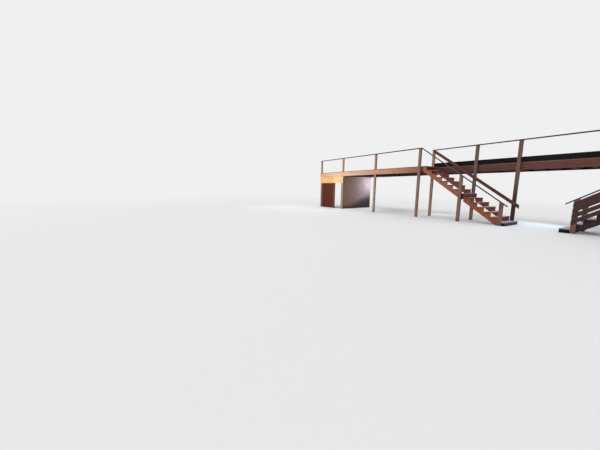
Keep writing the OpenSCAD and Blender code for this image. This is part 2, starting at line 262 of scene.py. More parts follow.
def mark_grain(piece, slope=0, sheet=False, second=in_the_back_row):
    """Writes on the mesh where the grain runs, each plank's tone and whether it has the second
    tone, its worn arrises and its cut ends. Each plank comes from its own place in a log, off
    the pith, and each sheet from its own place in the veneer."""
    mesh = piece.data
    count = len(mesh.vertices)
    grain = [0.0] * (3 * count)
    tone = [0.0] * count
    in_second_tone = [0.0] * count
    axes_at = {}
    for plank in planks_in(mesh):
        points = [mesh.vertices[i].co for i in plank]
        low, high = corners(points)
        axes = plank_axes(high - low, slope)
        middle = (low + high) / 2
        start = DRAW.uniform(-40, 40)
        pith = (DRAW.uniform(-0.05, 0.05), DRAW.choice((-1, 1)) * DRAW.uniform(0.03, 0.09))
        if sheet:
            pith = (DRAW.uniform(-20, 20), 0)
        shade = DRAW.uniform(-1, 1)
        for i, p in zip(plank, points):
            from_middle = p - middle
            grain[3 * i] = from_middle.dot(axes[0]) + start
            grain[3 * i + 1] = from_middle.dot(axes[1]) + pith[0]
            grain[3 * i + 2] = from_middle.dot(axes[2]) + pith[1]
            tone[i] = shade
            in_second_tone[i] = float(second(low, high))
            axes_at[i] = axes
    write_on(mesh, "grain", "FLOAT_VECTOR", "POINT", grain)
    write_on(mesh, "tone", "FLOAT", "POINT", tone)
    write_on(mesh, "in_second_tone", "FLOAT", "POINT", in_second_tone)
    worn, end = [], []
    for face in mesh.polygons:
        longest = max((mesh.vertices[a].co - mesh.vertices[b].co).length for a, b in face.edge_keys)
        worn.append(1.0 if face.area < ARRIS_WIDTH * longest else 0.0)
        along, _, through = axes_at[face.vertices[0]]
        if sheet:
            end.append(1.0 if abs(face.normal.dot(through)) < 0.7 else 0.0)
        else:
            end.append(1.0 if abs(face.normal.dot(along)) > 0.8 else 0.0)
    write_on(mesh, "worn", "FLOAT", "FACE", worn)
    write_on(mesh, "end", "FLOAT", "FACE", end)
    return piece


# Shader nodes

def colour(red, green, blue):
    """A colour by its 8-bit screen values."""
    return tuple(
        (v / 255 / 12.92 if v <= 10 else ((v / 255 + 0.055) / 1.055) ** 2.4)
        for v in (red, green, blue)
    ) + (1.0,)


def add(tree, kind, **settings):
    made = tree.nodes.new(kind)
    for key, value in settings.items():
        setattr(made, key, value)
    return made


def feed(tree, socket, value):
    """Links a socket to another one, or sets its value."""
    if isinstance(value, bpy.types.NodeSocket):
        tree.links.new(value, socket)
    else:
        socket.default_value = value


def calculate(tree, operation, *values, clamp=False):
    made = add(tree, "ShaderNodeMath", operation=operation, use_clamp=clamp)
    for socket, value in zip(made.inputs, values):
        feed(tree, socket, value)
    return made.outputs[0]


def times(tree, one, other, clamp=False):
    return calculate(tree, "MULTIPLY", one, other, clamp=clamp)


def plus(tree, one, other):
    return calculate(tree, "ADD", one, other)


def minus(tree, one, other):
    return calculate(tree, "SUBTRACT", one, other)


def larger(tree, one, other, clamp=False):
    return calculate(tree, "MAXIMUM", one, other, clamp=clamp)


def sloping(tree, value, slope, start):
    """The start, plus the value by its slope."""
    return calculate(tree, "MULTIPLY_ADD", value, slope, start)


def calculate_vector(tree, operation, *vectors):
    made = add(tree, "ShaderNodeVectorMath", operation=operation)
    for socket, vector in zip(made.inputs, vectors):
        feed(tree, socket, vector)
    return made.outputs


def stretched(tree, vector, scale):
    return calculate_vector(tree, "MULTIPLY", vector, scale)["Vector"]


def remap(tree, value, from_low, from_high, to_low=0.0, to_high=1.0):
    """Carries one range of a value over to another, with soft ends."""
    made = add(tree, "ShaderNodeMapRange", interpolation_type="SMOOTHSTEP")
    feed(tree, made.inputs["Value"], value)
    feed(tree, made.inputs["From Min"], from_low)
    feed(tree, made.inputs["From Max"], from_high)
    feed(tree, made.inputs["To Min"], to_low)
    feed(tree, made.inputs["To Max"], to_high)
    return made.outputs["Result"]


def noise(tree, vector, scale, detail=2.0, roughness=0.5, output="Fac"):
    """A cloudy pattern. A scale of three numbers is one for each axis."""
    if isinstance(scale, tuple):
        vector, scale = stretched(tree, vector, scale), 1.0
    made = add(tree, "ShaderNodeTexNoise")
    feed(tree, made.inputs["Vector"], vector)
    feed(tree, made.inputs["Scale"], scale)
    feed(tree, made.inputs["Detail"], detail)
    feed(tree, made.inputs["Roughness"], roughness)
    return made.outputs[output]


def mix(tree, factor, one, other):
    """One colour at a factor of 0, the other at 1."""
    made = add(tree, "ShaderNodeMix", data_type="RGBA")
    feed(tree, made.inputs[0], factor)
    feed(tree, made.inputs[6], one)
    feed(tree, made.inputs[7], other)
    return made.outputs[2]


def mix_value(tree, factor, one, other):
    """One value at a factor of 0, the other at 1."""
    made = add(tree, "ShaderNodeMix", data_type="FLOAT")
    feed(tree, made.inputs[0], factor)
    feed(tree, made.inputs[2], one)
    feed(tree, made.inputs[3], other)
    return made.outputs[0]


def axes_of(tree, vector):
    made = add(tree, "ShaderNodeSeparateXYZ")
    feed(tree, made.inputs[0], vector)
    return made.outputs


def attribute(tree, name):
    return add(tree, "ShaderNodeAttribute", attribute_name=name).outputs["Fac"]


def place_in_plank(tree):
    """Along the grain, across it and through the plank, as mark_grain wrote it."""
    return add(tree, "ShaderNodeAttribute", attribute_name="grain").outputs["Vector"]


def place_in_part(tree):
    return add(tree, "ShaderNodeTexCoord").outputs["Object"]


def facing(tree):
    return axes_of(tree, add(tree, "ShaderNodeNewGeometry").outputs["Normal"])


# Shader groups, each built once and placed in many finishes

def new_group(name, inputs, outputs):
    """A group of plain values: its inputs with their usual values, and its outputs."""
    group = bpy.data.node_groups.new(name, "ShaderNodeTree")
    for label, value in inputs.items():
        socket = group.interface.new_socket(label, in_out="INPUT", socket_type="NodeSocketFloat")
        socket.default_value = value
    for label in outputs:
        group.interface.new_socket(label, in_out="OUTPUT", socket_type="NodeSocketFloat")
    return group, add(group, "NodeGroupInput").outputs, add(group, "NodeGroupOutput").inputs


def growth_rings(group, place, spacing):
    """Dark late wood in rings round a pith that wanders along the log."""
    wander = noise(group, place, (0.7, 4.0, 4.0), output="Color")
    wander = calculate_vector(group, "SUBTRACT", wander, (0.5, 0.5, 0.5))["Vector"]
    bent = calculate_vector(group, "MULTIPLY_ADD", wander, (0.0, 0.05, 0.05), place)["Vector"]
    radius = calculate_vector(group, "LENGTH", stretched(group, bent, (0.0, 1.0, 1.0)))["Value"]
    turns = calculate(group, "DIVIDE", radius, spacing)
    wave = calculate(group, "SINE", times(group, turns, 2 * math.pi))
    return calculate(group, "POWER", remap(group, wave, -1.0, 1.0), 1.8)


def knots(group, place):
    """Long dark spots, in a third or so of the cells that could hold one."""
    cells = add(group, "ShaderNodeTexVoronoi")
    feed(group, cells.inputs["Vector"], stretched(group, place, (1.3, 7.0, 7.0)))
    feed(group, cells.inputs["Scale"], 1.0)
    spot = remap(group, cells.outputs["Distance"], 0.16, 0.08)
    lot = add(group, "ShaderNodeSeparateColor")
    feed(group, lot.inputs[0], cells.outputs["Color"])
    return times(group, spot, remap(group, lot.outputs[0], 0.62, 0.68))


def drying_checks(group, place):
    """Fine cracks along the grain, here and there."""
    valley = minus(group, noise(group, place, (0.9, 26.0, 26.0), 1.0, 0.4), 0.5)
    line = remap(group, calculate(group, "ABSOLUTE", valley), 0.012, 0.003)
    here = remap(group, noise(group, place, (1.1, 5.0, 5.0), 1.0), 0.53, 0.58)
    return times(group, line, here)


def timber_grain_group():
    """Growth rings cut by the plank's faces, fibres along it, knots and drying checks."""
    group, given, result = new_group(
        "Timber grain", {"Ring spacing": 0.009, "Rings": 0.5, "Fibres": 0.4, "Checks": 0.5},
        ("Dark", "Height"))
    place = place_in_plank(group)
    late = growth_rings(group, place, given["Ring spacing"])
    fibre = noise(group, place, (2.5, 140.0, 140.0), 3.0, 0.65)
    streak = noise(group, place, (0.6, 28.0, 28.0))
    check = times(group, drying_checks(group, place), given["Checks"])
    lines = times(group, late, given["Rings"])
    hairs = times(group, minus(group, fibre, 0.42), given["Fibres"])
    bands = times(group, minus(group, streak, 0.5), 1.1)
    dark = plus(group, plus(group, lines, hairs), bands)
    dark = larger(group, dark, times(group, knots(group, place), 0.9), clamp=True)
    dark = larger(group, dark, times(group, check, 1.6), clamp=True)
    feed(group, result["Dark"], dark)
    height = plus(group, times(group, late, 0.4), times(group, fibre, 0.8))
    feed(group, result["Height"], minus(group, height, times(group, check, 3.0)))
    return group


def veneer_group():
    """Rotary-cut face veneer in broad flames, and the glued layers on the sheet's edges."""
    group, given, result = new_group("Veneer", {"Layer": 0.0036}, ("Dark", "Height"))
    place = place_in_plank(group)
    flame = noise(group, place, (0.55, 4.2, 1.0), 1.0, 0.4)
    bands = remap(group, calculate(group, "SINE", times(group, flame, 60.0)), -1.0, 1.0)
    fibre = noise(group, place, (3.0, 90.0, 1.0), 3.0, 0.6)
    face = plus(group, times(group, bands, 0.45), times(group, fibre, 0.45))
    layer = calculate(group, "DIVIDE", axes_of(group, place)["Z"], given["Layer"])
    stripes = remap(group, calculate(group, "SINE", times(group, layer, math.pi)), -0.3, 0.3)
    feed(group, result["Dark"], mix_value(group, attribute(group, "end"), face, stripes))
    feed(group, result["Height"], fibre)
    return group


def wear_group():
    """Bare wood on rubbed arrises, and scuffs on the faces."""
    group, given, result = new_group("Edge wear", {"Arrises": 0.7, "Scuffs": 0.3}, ("Bare",))
    patches = remap(group, noise(group, place_in_part(group), 9.0, 3.0, 0.6), 0.35, 0.6)
    arris = times(group, times(group, attribute(group, "worn"), patches), given["Arrises"])
    marks = noise(group, place_in_plank(group), (5.0, 30.0, 30.0), 4.0, 0.7)
    scuff = times(group, remap(group, marks, 0.6, 0.72), given["Scuffs"])
    feed(group, result["Bare"], larger(group, arris, scuff, clamp=True))
    return group


def dust_and_glare_group():
    """Pale dust on level faces, thinner in patches, as if walked or wiped off. On treads and
    step planks it is thick and cool: partly dust and partly a painted glare on their tops."""
    group, given, result = new_group(
        "Dust and glare", {"Amount": 0.5, "Patches": 3.0, "Thinnest": 0.35}, ("Dust and glare",))
    level = remap(group, facing(group)["Z"], 0.5, 0.95)
    cloud = noise(group, place_in_part(group), given["Patches"], 4.0)
    spread = remap(group, cloud, 0.3, 0.62, given["Thinnest"], 1.0)
    dust_and_glare = times(group, times(group, level, spread), given["Amount"], clamp=True)
    feed(group, result["Dust and glare"], dust_and_glare)
    return group


def stain_and_far_light_group():
    """Each plank's own tone, uneven stain, grime at the floor, and a painted light that makes
    the far end paler and yellower and the near end darker."""
    group, given, result = new_group(
        "Uneven stain and far light", {"Tone": 0.2, "Blotches": 0.2, "Far bleach": 0.4, "Foot grime": 0.3},
        ("Value", "Saturation", "Hue", "Grime"))
    place = place_in_part(group)
    axes = axes_of(group, place)
    # Painted light: paler, yellower and less saturated towards the far end, darker towards the near end
    far_lit = remap(group, axes["X"], FAR, FAR + 15.0, 1.0, -1.0)
    far_lit = times(group, far_lit, remap(group, axes["X"], FAR - 0.5, FAR + 2.8, 0.3, 1.0))
    blotch = noise(group, stretched(group, place, (1.0, 1.0, 0.6)), 2.2, 3.0, 0.6)
    blotch = times(group, minus(group, blotch, 0.5), given["Blotches"])
    value = plus(group, sloping(group, attribute(group, "tone"), given["Tone"], 1.0), blotch)
    value = times(group, value, sloping(group, far_lit, given["Far bleach"], 1.0))
    feed(group, result["Value"], value)
    far_light_share = times(group, larger(group, far_lit, 0.0), given["Far bleach"])
    feed(group, result["Saturation"], sloping(group, far_light_share, -0.5, 1.0))
    feed(group, result["Hue"], sloping(group, far_light_share, 0.045, 0.5))
    smear = times(group, noise(group, place, 14.0, 3.0, 0.6), -0.15)
    foot = remap(group, plus(group, axes["Z"], smear), 0.16, -0.06)
    feed(group, result["Grime"], times(group, foot, given["Foot grime"], clamp=True))
    return group


GRAIN, VENEER, WEAR, DUST_AND_GLARE, STAIN_AND_FAR_LIGHT = (
    timber_grain_group(), veneer_group(), wear_group(), dust_and_glare_group(), stain_and_far_light_group()
)


# Finishes

def use(tree, group, **values):
    """Places a group in a material, with the material's own values; gives its outputs."""
    made = add(tree, "ShaderNodeGroup", node_tree=group)
    for label, value in values.items():
        made.inputs[label.replace("_", " ")].default_value = value
    return made.outputs


def new_material(name):
    material = bpy.data.materials.new(name)
    material.use_nodes = True
    return material, material.node_tree, material.node_tree.nodes["Principled BSDF"]


GRIME = colour(58, 50, 46)
# The colour of a painted shade at the foot of a sheet
FOOT_SHADE_COLOUR = colour(40, 30, 27)
# What is left of the deep stain's value where a cut end has soaked it up
SOAKED_END = 0.2
DUST_AND_GLARE_ROUGHNESS = 0.9
# From none to all above a beam's upper edge, so that a change takes in its whole depth
WHOLE_BEAM = (4.0, 3.0)


def shade_at_the_foot(tree):
    """A painted shade at the foot, knee high in front and waist high at the wall."""
    place = place_in_part(tree)
    axes = axes_of(tree, place)
    inwards = remap(tree, axes["Y"], BACK_ROW, BACK)
    ragged = noise(tree, place, 4.0, 3.0, 0.6)
    height = plus(tree, times(tree, inwards, 0.7), times(tree, ragged, 0.3))
    return remap(tree, minus(tree, axes["Z"], height), 0.3, -0.25)


def past_and_below(tree, along, height):
    """Past one place along the deck and below one height, each from none to all."""
    axes = axes_of(tree, place_in_part(tree))
    return times(tree, remap(tree, axes["X"], *along), remap(tree, axes["Z"], *height))


def timber(name, stain, deep, bare, tone=0.18, blotches=0.25, far_light=0.25, grime=0.3, rings=0.5,
           fibres=0.4, checks=0.5, arrises=0.7, scuffs=0.25, dust_and_glare=0.35,
           dust_and_glare_tint=(188, 178, 164), patches=3.0, thinnest=0.35, roughness=0.62, polish=0.22,
           soaked=0.45, sheet=False, second_tone=None, under=None, pale_ends=None, foot_shade_share=None,
           front=None, toned=()):
    """A stained or bare timber finish: stain over deep grain, darker where the cut ends
    soaked it up, bare wood where it is rubbed, grime at the floor, dust on top, which on
    treads and step planks is partly a painted glare.

    The second tone is the stain and deep grain of the planks with another tone; under is
    the colour of the lower faces, a painted shade; pale ends is the colour of the faces at
    both ends; the foot shade share is how dark a painted shade at the foot is. front is by
    how much the faces towards the open side are paler, and the others darker: painted
    light and shade. toned lists the places with a tone of their own: from none to all
    along the deck, from none to all in height, their stain, their grain. These and the far
    end's painted light were matched to the photo."""
    material, tree, shader = new_material(name)
    if sheet:
        figure = use(tree, VENEER)
    else:
        figure = use(tree, GRAIN, Rings=rings, Fibres=fibres, Checks=checks)
    uneven = use(tree, STAIN_AND_FAR_LIGHT, Tone=tone, Blotches=blotches, Far_bleach=far_light, Foot_grime=grime)
    rubbed = use(tree, WEAR, Arrises=arrises, Scuffs=scuffs)
    dust_and_glare_cover = use(tree, DUST_AND_GLARE, Amount=dust_and_glare, Patches=patches, Thinnest=thinnest)

    def grained(stain, deep):
        return mix(tree, figure["Dark"], colour(*stain), colour(*deep))

    base = grained(stain, deep)
    if second_tone:
        base = mix(tree, attribute(tree, "in_second_tone"), base, grained(*second_tone))
    # Each listed place takes its own colours; at the set-back posts they are painted light and painted
    # shade
    for along, height, *place_colours in toned:
        base = mix(tree, past_and_below(tree, along, height), base, grained(*place_colours))
    towards = facing(tree)
    # The lower faces take a painted shade
    if under:
        base = mix(tree, remap(tree, towards["Z"], -0.5, -0.9), base, colour(*under))
    # A paler colour on the faces at both ends
    if pale_ends:
        at_the_ends = remap(tree, calculate(tree, "ABSOLUTE", towards["X"]), 0.8, 0.95)
        base = mix(tree, at_the_ends, base, colour(*pale_ends))
    value = uneven["Value"]
    # Painted light and shade: the faces towards the open side paler, the others darker
    if front:
        paler, darker = front
        open_side = remap(tree, towards["Y"], -0.5, -0.9)
        value = times(tree, value, mix_value(tree, open_side, darker, paler))

    shade = add(tree, "ShaderNodeHueSaturation")
    feed(tree, shade.inputs["Value"], value)
    feed(tree, shade.inputs["Saturation"], uneven["Saturation"])
    feed(tree, shade.inputs["Hue"], uneven["Hue"])
    feed(tree, shade.inputs["Color"], base)
    surface = shade.outputs[0]
    if not sheet:
        red, green, blue, alpha = colour(*deep)
        cut_end = (SOAKED_END * red, SOAKED_END * green, SOAKED_END * blue, alpha)
        surface = mix(tree, times(tree, attribute(tree, "end"), soaked), surface, cut_end)
    surface = mix(tree, rubbed["Bare"], surface, colour(*bare))
    surface = mix(tree, uneven["Grime"], surface, GRIME)
    # A painted shade at the foot
    if foot_shade_share:
        surface = mix(tree, times(tree, shade_at_the_foot(tree), foot_shade_share), surface, FOOT_SHADE_COLOUR)
    surface = mix(tree, dust_and_glare_cover["Dust and glare"], surface, colour(*dust_and_glare_tint))
    feed(tree, shader.inputs["Base Color"], surface)

    gloss = remap(tree, figure["Dark"], 0.0, 1.0, roughness - 0.08, roughness + 0.08)
    gloss = mix_value(tree, dust_and_glare_cover["Dust and glare"], gloss, DUST_AND_GLARE_ROUGHNESS)
    feed(tree, shader.inputs["Roughness"], gloss)
    feed(tree, shader.inputs["Specular IOR Level"], polish)
    bump = add(tree, "ShaderNodeBump")
    feed(tree, bump.inputs["Strength"], 0.35)
    feed(tree, bump.inputs["Distance"], 0.0012)
    feed(tree, bump.inputs["Height"], figure["Height"])
    feed(tree, shader.inputs["Normal"], bump.outputs[0])
    return material


# What several finishes share
# Posts take painted light and shade: paler on the faces towards the open side, darker on the others, and
# paler towards the far end
POST = dict(far_light=0.4, tone=0.07, dust_and_glare=0.4, checks=0.9, front=(1.3, 0.88))
STRINGER = dict(far_light=0.1, tone=0.06, second_tone=((168, 102, 92), (120, 64, 56)))
TRODDEN = dict(far_light=0.1, scuffs=0.4, patches=6.0)
DARK_PAINT = dict(stain=(19, 16, 17), deep=(13, 11, 12), bare=(74, 64, 58), far_light=0.0, rings=0.15,
                  fibres=0.2, grime=0.0, arrises=0.35, scuffs=0.1, dust_and_glare=0.2, roughness=0.75,
                  polish=0.15)
PLY = dict(sheet=True, far_light=0.0)

# The tones were matched to the photo, which can't tell a stain from light or shade. The
# near stair's dark stringers are a painted shade; the guard boards and the timber under
# the deck and at its back are dark partly from their stain and partly from painted shade;
# the cool, pale tops of the treads are partly dust and partly a painted glare.
POST_STAIN = timber("Post stain", (148, 112, 95), (95, 64, 51), (182, 152, 128), **POST)
# The set-back posts: a darker copy of the post stain, which is a painted shade, and a paler, more orange
# second tone on the post at the far landing, a painted light
SET_BACK_STAIN = timber(
    "Set-back post stain", (130, 97, 86), (83, 55, 47), (166, 136, 118), **POST,
    second_tone=((174, 134, 107), (112, 78, 58)),
    toned=[
        # A painted pool of light on the foot of the next set-back post
        ((FAR + 10.0, FAR + 10.4), (1.2, 0.85), (176, 126, 98), (126, 80, 58)),
        # Painted shade low down on the set-back posts from the far stair's foot on
        ((FAR + 11.8, FAR + 12.4), (2.5, 0.8), (72, 50, 44), (44, 27, 23)),
    ])
# The front beam: painted light strongest towards the far end, and darker from a metre before the far
# landing on
FASCIA_STAIN = timber(
    "Fascia stain", (196, 146, 120), (150, 99, 77), (208, 174, 142), far_light=0.5, tone=0.06,
    toned=[((FAR + 7.6, FAR + 8.6), WHOLE_BEAM, (172, 127, 104), (131, 85, 66))])
# The set-back beam is dark partly from its stain and partly from painted shade
BEAM_STAIN = timber("Red-brown beam stain", (114, 70, 66), (72, 38, 36), (150, 112, 94),
                    far_light=0.0, soaked=0.7)
MID_BEAM_STAIN = timber("Mid-stair beam stain", (98, 52, 45), (62, 29, 26), (124, 84, 70),
                        far_light=0.0, arrises=0.3, scuffs=0.12, dust_and_glare=0.2, soaked=0.92)
# Joists, ledger and frames under the deck: dark partly from their stain and partly from painted shade
SAWN = timber("Sawn joist timber", (64, 41, 33), (40, 23, 19), (100, 76, 60),
              far_light=0.1, rings=0.4, polish=0.1)
# The deck boards' dark lower faces are a painted shade
DECK_WOOD = timber("Worn deck wood", (132, 106, 88), (84, 60, 48), (170, 146, 122),
                   far_light=0.1, tone=0.3, scuffs=0.5, dust_and_glare=0.28, patches=1.6, under=(56, 35, 28))
KICK_PAINT = timber("Dark board paint", **DARK_PAINT)
# The bottom step's frames: dark paint, with a paler, bluish grey on the faces at both ends
STEP_PAINT = timber("Step paint with pale ends", **DARK_PAINT, pale_ends=(60, 56, 66))
RAIL_STAIN = timber("Handled rail stain", (66, 44, 37), (40, 26, 21), (116, 88, 70),
                    far_light=0.1, dust_and_glare=0.4, arrises=0.4, roughness=0.5)
# The back handrails are dark partly from their stain and partly from painted shade
BACK_RAIL_STAIN = timber("Back handrail stain", (94, 58, 51), (58, 32, 29), (132, 98, 82),
                         far_light=0.0, arrises=0.4)
# The near stair's guard boards are dark partly from their stain and partly from painted shade
GUARD_STAIN = timber("Guard board stain", (80, 55, 56), (48, 30, 31), (120, 92, 84),
                     far_light=0.0, arrises=0.35, tone=0.1)
UPPER_STRINGER_STAIN = timber("Upper stringer stain", (168, 108, 82), (120, 68, 48),
                              (190, 146, 116), **STRINGER)
LOWER_STRINGER_STAIN = timber("Lower stringer stain", (170, 92, 60), (118, 54, 32),
                              (190, 142, 110), **STRINGER)
SHADED_STAIN = timber("Shaded stringer stain", (62, 40, 44), (38, 23, 27), (108, 82, 76),
                      far_light=0.0, tone=0.08, arrises=0.3)
# Treads and step planks: their thick, cool, pale tops are partly dust and partly a painted glare
TREAD_STAIN = timber("Worn tread stain", (138, 84, 76), (88, 49, 44), (176, 142, 122), **TRODDEN,
                     dust_and_glare=0.88, dust_and_glare_tint=(200, 198, 204), thinnest=0.65, soaked=0.3)
NEAR_TREAD_STAIN = timber("Worn near tread stain", (130, 84, 80), (84, 50, 48), (170, 142, 128),
                          **TRODDEN, dust_and_glare=0.9, dust_and_glare_tint=(208, 211, 230), thinnest=0.7, soaked=0.3)
STEP_PLANK_STAIN = timber("Worn step plank", (112, 100, 100), (84, 70, 70), (176, 160, 150),
                          **TRODDEN, dust_and_glare=0.88, dust_and_glare_tint=(188, 189, 204), thinnest=0.7, soaked=0.0)
JAMB_STAIN = timber("Door board stain", (104, 66, 56), (70, 42, 34), (132, 98, 80),
                    far_light=0.0, scuffs=0.12)
HEADER_PLY = timber("Yellow plywood", (226, 184, 128), (204, 150, 90), (250, 222, 178), **PLY,
                    second_tone=((231, 208, 158), (212, 174, 118)), tone=0.02, blotches=0.12,
                    arrises=0.2, scuffs=0.05, grime=0.0, roughness=0.5)
PANEL_PLY = timber("Brown plywood", (92, 42, 29), (68, 29, 20), (130, 84, 62), **PLY,
                   tone=0.06, arrises=0.3, scuffs=0.06, roughness=0.6, polish=0.12)
# The side sheet's dark foot, knee high in front and waist high at the wall, is a painted shade
SIDE_PLY = timber("Weathered plywood", (150, 135, 135), (126, 110, 111), (168, 152, 146), **PLY,
                  second_tone=((160, 132, 121), (134, 106, 95)), tone=0.03, arrises=0.3,
                  scuffs=0.1, blotches=0.3, foot_shade_share=0.85)


def metal(name, main, rust, rust_share, roughness):
    """Dull fixings: zinc or bare steel, with rust in patches."""
    material, tree, shader = new_material(name)
    cloud = noise(tree, place_in_part(tree), 60.0, 3.0)
    rusty = remap(tree, cloud, 0.62 - rust_share * 0.4, 0.7 - rust_share * 0.3)
    feed(tree, shader.inputs["Base Color"], mix(tree, rusty, colour(*main), colour(*rust)))
    feed(tree, shader.inputs["Metallic"], calculate(tree, "SUBTRACT", 0.8, rusty, clamp=True))
    feed(tree, shader.inputs["Roughness"], remap(tree, rusty, 0.0, 1.0, roughness, 0.85))
    return material


ZINC = metal("Dull zinc", (150, 150, 148), (96, 66, 48), 0.25, 0.45)
NAIL_STEEL = metal("Nail steel", (88, 80, 74), (74, 50, 38), 0.6, 0.6)


# Planks and sheets that keep the shape of their solids

# Straight planks: their finish, and how far their arrises are eased
FINISHES = {
    "front_posts_far": (POST_STAIN, 0.004),
    "front_posts_near": (POST_STAIN, 0.004),
    "set_back_posts": (SET_BACK_STAIN, 0.004),
    "mid_stair_posts": (POST_STAIN, 0.004),
    "newel_posts": (POST_STAIN, 0.005),
    "end_guard_post": (POST_STAIN, 0.004),
    "front_beam_far": (FASCIA_STAIN, 0.003),
    "front_beam_near": (FASCIA_STAIN, 0.003),
    "set_back_beam": (BEAM_STAIN, 0.003),
    "landing_beams": (BEAM_STAIN, 0.003),
    "mid_stair_beams": (MID_BEAM_STAIN, 0.003),
    "wall_ledger": (SAWN, 0.002),
    "end_beams": (SAWN, 0.002),
    "joists_far": (SAWN, 0.002),
    "joists_middle": (SAWN, 0.002),
    "joists_near": (SAWN, 0.002),
    "kick_board": (KICK_PAINT, 0.003),
    "guard_rail_far": (RAIL_STAIN, 0.005),
    "guard_rail_set_back": (RAIL_STAIN, 0.005),
    "guard_rail_near": (RAIL_STAIN, 0.005),
    "guard_rail_end": (RAIL_STAIN, 0.005),
    "far_stair_treads": (TREAD_STAIN, 0.006),
    "near_stair_treads": (NEAR_TREAD_STAIN, 0.006),
    "bottom_step_planks": (STEP_PLANK_STAIN, 0.005),
    "bottom_step_frames": (STEP_PAINT, 0.003),
    "store_lintel": (SAWN, 0.002),
    "store_batten": (JAMB_STAIN, 0.002),
    "store_door_jambs": (JAMB_STAIN, 0.003),
    "store_side_frame": (SAWN, 0.002),
    "store_side_plates": (SAWN, 0.002),
}
# Planks at the stairs' pitch: finish, easing, and whether they fall (-1) or rise (1)
# away from the far end
SLOPED = {
    "far_stair_upper_stringers": (UPPER_STRINGER_STAIN, 0.003, -1),
    "far_stair_lower_stringers": (LOWER_STRINGER_STAIN, 0.003, -1),
    "near_stair_upper_stringers": (SHADED_STAIN, 0.003, 1),
    "near_stair_lower_stringers": (SHADED_STAIN, 0.003, 1),
    "far_stair_front_handrail": (RAIL_STAIN, 0.005, -1),
    "far_stair_back_handrail": (BACK_RAIL_STAIN, 0.004, -1),
    "near_stair_front_handrail": (RAIL_STAIN, 0.005, 1),
    "near_stair_back_handrail": (BACK_RAIL_STAIN, 0.004, 1),
    "near_stair_guard_boards": (GUARD_STAIN, 0.003, 1),
}
SHEETS = {
    "store_header": HEADER_PLY,
    "store_front_sheets": PANEL_PLY,
    "store_side_sheet": SIDE_PLY,
}
SHEET_EASE = 0.001


def dress(node, finish, ease, steps=2, **figure):
    planks = eased(timber_of(node, "dressed_" + node), ease, steps)
    mark_grain(planks, second=SECOND_TONE_PLANKS.get(node, in_the_back_row), **figure)
    fit(planks, finish, node)


def dress_all():
    for node, (finish, ease) in FINISHES.items():
        dress(node, finish, ease)
    for node, (finish, ease, slope) in SLOPED.items():
        dress(node, finish, ease, slope=slope)
    for node, finish in SHEETS.items():
        dress(node, finish, SHEET_EASE, steps=1, sheet=True)


# Deck boards, laid along the deck with their butt joints over joists

# Joists nearer to a row's end than this carry no joint
NO_JOINT = 0.9
# The shortest board before a joint, and the shortest after the last one
SHORTEST_BOARD, SHORTEST_REST = 2.2, 1.2
# Where two nails cross a board, as shares of its width, and how far they stray
NAIL_SHARES = (0.22, 0.78)
STRAY = 0.006
CLEAR_OF_THE_END = 0.02


def cut_off(piece, place, direction):
    """Cuts the piece through a place, and keeps what lies along the direction."""
    edit(piece)
    bpy.ops.mesh.bisect(plane_co=place, plane_no=direction, use_fill=True, clear_inner=True)
    leave()


def board_ends(lines, low, high, row):
    """Where the boards of one row end: over joists, never in line with the next row's."""
    inner = [x for x in lines if low + NO_JOINT < x < high - NO_JOINT]
    start = (row * 5) % 7
    ends, last = [low], low
    for k, x in enumerate(inner):
        if x - last > SHORTEST_BOARD and (k + start) % 3 == 0 and high - x > SHORTEST_REST:
            ends.append(x)
            last = x
    return ends + [high]


def row_of(slab, front_edge, row, rows, pitch):
    """One row of boards as a single strip, half a gap short of its neighbours."""
    strip = twin(slab, "strip")
    if row > 0:
        cut_off(strip, (0, front_edge + row * pitch + BOARD_GAP / 2, 0), (0, 1, 0))
    if row < rows - 1:
        cut_off(strip, (0, front_edge + (row + 1) * pitch - BOARD_GAP / 2, 0), (0, -1, 0))
    return strip


def boards_of(strip, ends):
    """The strip cut into its boards, half a gap short of each joint."""
    boards = []
    for k in range(len(ends) - 1):
        board = twin(strip, "board")
        if k > 0:
            cut_off(board, (ends[k] + BUTT_GAP / 2, 0, 0), (1, 0, 0))
        if k < len(ends) - 2:
            cut_off(board, (ends[k + 1] - BUTT_GAP / 2, 0, 0), (-1, 0, 0))
        boards.append(board)
    bpy.data.objects.remove(strip)
    return boards


def lay_deck(node, joists):
    """Lays boards in place of one stretch of deck, and gives the places of its nails."""
    low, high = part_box(node)
    rows = round((high.y - low.y) / BOARD_PITCH)
    pitch = (high.y - low.y) / rows
    slab = timber_of(node, "slab")
    lines = joist_lines(joists)
    boards = []
    for row in range(rows):
        boards += boards_of(row_of(slab, low.y, row, rows, pitch),
                            board_ends(lines, low.x, high.x, row))
    bpy.data.objects.remove(slab)
    deck = joined(boards, "boards_" + node)
    fit(mark_grain(eased(deck, 0.003)), DECK_WOOD, node)
    nailed = [x for x in lines if low.x + CLEAR_OF_THE_END < x < high.x - CLEAR_OF_THE_END]
    places = []
    for x in nailed:
        for row in range(rows):
            for share in NAIL_SHARES:
                y = low.y + (row + share) * pitch
                places.append((x + DRAW.uniform(-STRAY, STRAY), y + DRAW.uniform(-STRAY, STRAY), high.z))
    return places


# Nails and bolts: modelled once each, head towards +Z, and copied

def nail_head():
    """A round head with a low crown inside its rim, half of it sunk in the wood."""
    radius, thickness, rim, crown = 0.0042, 0.0016, 0.0012, 0.0004
    bpy.ops.mesh.primitive_cylinder_add(vertices=8, radius=radius, depth=thickness, location=(0, 0, 0))
    nail = bpy.context.object
    edit_faces(nail, lambda face: face.normal.z > 0.9)
    bpy.ops.mesh.inset(thickness=rim)
    bpy.ops.transform.translate(value=(0, 0, crown))
    leave()
    return nail


